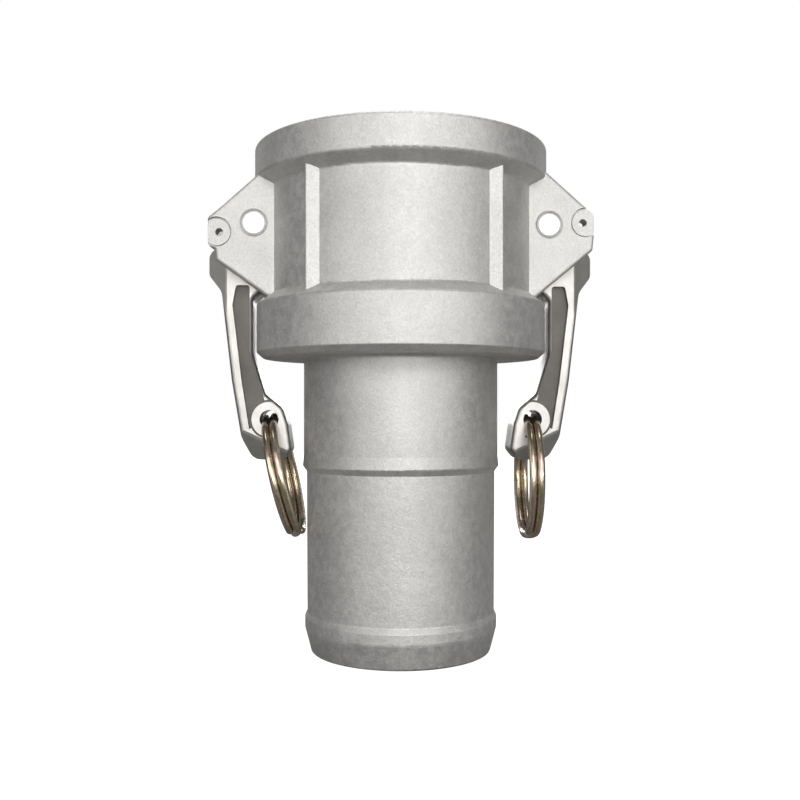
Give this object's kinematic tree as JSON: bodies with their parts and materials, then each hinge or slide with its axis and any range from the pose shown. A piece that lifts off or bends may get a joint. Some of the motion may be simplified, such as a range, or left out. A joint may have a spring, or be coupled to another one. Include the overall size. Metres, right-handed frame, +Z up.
{
  "type": "camlock coupling",
  "caption": "Cam-and-groove coupler with a hose shank: cast body, seal, and a pinned cam arm with a split pull ring on each side.",
  "frame": {"origin": "centre of the shank's end face, which the coupler stands on", "axes": "+Z up along the flow axis towards the mouth, the cam arms on -X (left) and +X (right), front -Y"},
  "size_m": [0.1306, 0.1, 0.171],
  "materials": {
    "cast_body": "shot-blasted casting, matte with a fine grain",
    "seal": "moulded black nitrile",
    "arm": "semi-polished stainless casting",
    "pin": "bright stainless",
    "ring": "yellow zinc-passivated steel wire"
  },
  "bodies": {
    "coupler": {"coupler_body": "cast_body", "gasket": "seal", "pivot_pin_left": "pin", "pivot_pin_right": "pin"},
    "left_arm": {"cam_arm_left": "arm"},
    "right_arm": {"cam_arm_right": "arm"},
    "left_ring": {"pull_ring_left": "ring"},
    "right_ring": {"pull_ring_right": "ring"}
  },
  "joints": [
    {"name": "left_arm_pivot", "type": "hinge", "parent": "coupler", "child": "left_arm", "pos_m": [-0.049, 0, 0.1442], "axis": [0, 1, 0], "range_deg": [0, 100]},
    {"name": "right_arm_pivot", "type": "hinge", "parent": "coupler", "child": "right_arm", "pos_m": [0.049, 0, 0.1442], "axis": [0, -1, 0], "range_deg": [0, 100]},
    {"name": "left_ring_swing", "type": "hinge", "parent": "left_arm", "child": "left_ring", "pos_m": [-0.0447, 0, 0.0793], "axis": [0, 1, 0], "range_deg": [0, 120]},
    {"name": "right_ring_swing", "type": "hinge", "parent": "right_arm", "child": "right_ring", "pos_m": [0.0447, 0, 0.0793], "axis": [0, -1, 0], "range_deg": [-11, 110]}
  ]
}
